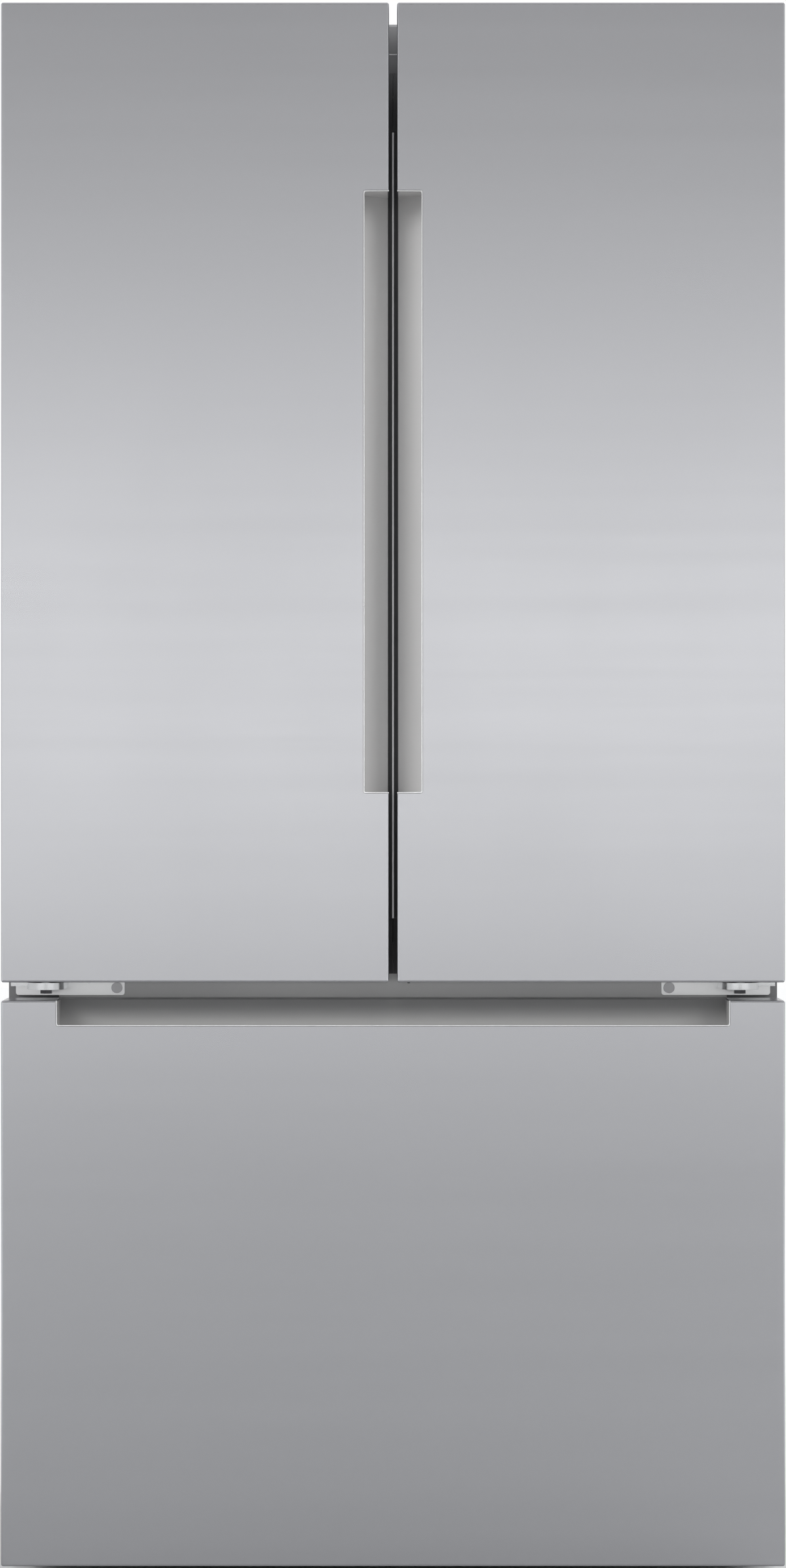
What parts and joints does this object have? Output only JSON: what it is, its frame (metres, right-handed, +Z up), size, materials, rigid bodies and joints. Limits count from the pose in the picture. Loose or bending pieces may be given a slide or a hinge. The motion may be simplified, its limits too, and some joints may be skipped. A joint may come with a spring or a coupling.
{
  "type": "refrigerator",
  "caption": "Upright refrigerator with two side-by-side doors above a full-width freezer drawer, flat steel fronts and recessed pocket grips.",
  "frame": {"origin": "on the floor, below the middle of the whole appliance", "axes": "+Z up; the doors face -Y; +X is on the right of a person standing in front of them"},
  "size_m": [0.905, 0.724, 1.829],
  "materials": {
    "stainless": "satin",
    "case_paint": "satin",
    "zinc": "satin",
    "chrome": "polished",
    "liner_white": "satin",
    "handle_grey": "satin",
    "gasket": "matte",
    "clear_bin": "gloss",
    "glass": "gloss",
    "dark_plastic": "satin",
    "grey_plastic": "satin",
    "foam": "matte",
    "aluminium": "satin",
    "black_steel": "satin"
  },
  "bodies": {
    "cabinet": {"outer_wrapper": "case_paint", "back_panel": "zinc", "base_frame": "zinc", "insulation_foam": "foam", "fridge_liner": "liner_white", "freezer_liner": "liner_white", "cross_rail": "case_paint", "top_cover": "grey_plastic", "left_top_hinge": "zinc", "right_top_hinge": "zinc", "left_centre_hinge": "chrome", "right_centre_hinge": "chrome", "crisper_cover": "glass", "wide_shelf": "glass", "left_upper_shelf": "glass", "right_upper_shelf": "glass", "air_duct_cover": "liner_white", "light_cover": "clear_bin", "evaporator": "aluminium", "evaporator_cover": "liner_white", "compressor": "black_steel", "condenser": "black_steel", "rear_cover": "zinc", "left_freezer_rail": "zinc", "right_freezer_rail": "zinc"},
    "left_door": {"left_door_skin": "stainless", "left_door_top_cap": "grey_plastic", "left_door_liner": "liner_white", "left_door_gasket": "gasket", "left_handle_pocket": "handle_grey", "left_lower_bin": "clear_bin", "left_middle_bin": "clear_bin", "left_upper_bin": "clear_bin"},
    "right_door": {"right_door_skin": "stainless", "right_door_top_cap": "grey_plastic", "right_door_liner": "liner_white", "right_door_gasket": "gasket", "right_handle_pocket": "handle_grey", "right_lower_bin": "clear_bin", "right_middle_bin": "clear_bin", "right_upper_bin": "clear_bin"},
    "freezer_drawer": {"drawer_skin": "stainless", "drawer_liner": "liner_white", "drawer_gasket": "gasket", "drawer_handle_pocket": "handle_grey", "drawer_left_slide": "zinc", "drawer_right_slide": "zinc", "freezer_basket": "liner_white"},
    "upper_tray": {"freezer_tray": "clear_bin"},
    "mullion": {"mullion_post": "dark_plastic", "mullion_plate": "stainless"},
    "left_crisper": {"left_crisper": "clear_bin"},
    "right_crisper": {"right_crisper": "clear_bin"},
    "deli_drawer": {"deli_drawer": "clear_bin"},
    "left_front_foot": {"left_front_foot": "dark_plastic"},
    "right_front_foot": {"right_front_foot": "dark_plastic"},
    "left_rear_roller": {"left_rear_roller": "dark_plastic"},
    "right_rear_roller": {"right_rear_roller": "dark_plastic"},
    "evaporator_fan": {"evaporator_fan": "dark_plastic"},
    "condenser_fan": {"condenser_fan": "dark_plastic"}
  },
  "joints": [
    {"name": "left_door_hinge", "type": "hinge", "parent": "cabinet", "child": "left_door", "pos_m": [-0.404, -0.314, 1.25], "axis": [0, 0, -1], "range_deg": [0, 97]},
    {"name": "right_door_hinge", "type": "hinge", "parent": "cabinet", "child": "right_door", "pos_m": [0.404, -0.314, 1.25], "axis": [0, 0, 1], "range_deg": [0, 97]},
    {"name": "freezer_drawer_slide", "type": "slide", "parent": "cabinet", "child": "freezer_drawer", "axis": [0, -1, 0], "range_m": [0, 0.42]},
    {"name": "upper_tray_slide", "type": "slide", "parent": "freezer_drawer", "child": "upper_tray", "axis": [0, 1, 0], "range_m": [0, 0.16]},
    {"name": "mullion_fold", "type": "hinge", "parent": "cabinet", "child": "mullion", "pos_m": [-0.019, -0.2433, 1.238], "axis": [0, 0, 1], "range_deg": [0, 85]},
    {"name": "left_crisper_slide", "type": "slide", "parent": "cabinet", "child": "left_crisper", "axis": [0, -1, 0], "range_m": [0, 0.045]},
    {"name": "right_crisper_slide", "type": "slide", "parent": "cabinet", "child": "right_crisper", "axis": [0, -1, 0], "range_m": [0, 0.045]},
    {"name": "deli_drawer_slide", "type": "slide", "parent": "cabinet", "child": "deli_drawer", "axis": [0, -1, 0], "range_m": [0, 0.045]},
    {"name": "left_foot_height", "type": "slide", "parent": "cabinet", "child": "left_front_foot", "axis": [0, 0, -1], "range_m": [0, 0.015]},
    {"name": "right_foot_height", "type": "slide", "parent": "cabinet", "child": "right_front_foot", "axis": [0, 0, -1], "range_m": [0, 0.015]},
    {"name": "left_roller_spin", "type": "hinge", "parent": "cabinet", "child": "left_rear_roller", "pos_m": [-0.3925, 0.302, 0.019], "axis": [1, 0, 0], "continuous": true},
    {"name": "right_roller_spin", "type": "hinge", "parent": "cabinet", "child": "right_rear_roller", "pos_m": [0.3925, 0.302, 0.019], "axis": [1, 0, 0], "continuous": true},
    {"name": "evaporator_fan_spin", "type": "hinge", "parent": "cabinet", "child": "evaporator_fan", "pos_m": [0, 0.231, 0.59], "axis": [0, 1, 0], "continuous": true},
    {"name": "condenser_fan_spin", "type": "hinge", "parent": "cabinet", "child": "condenser_fan", "pos_m": [-0.095, 0.255, 0.1113], "axis": [1, 0, 0], "continuous": true}
  ]
}
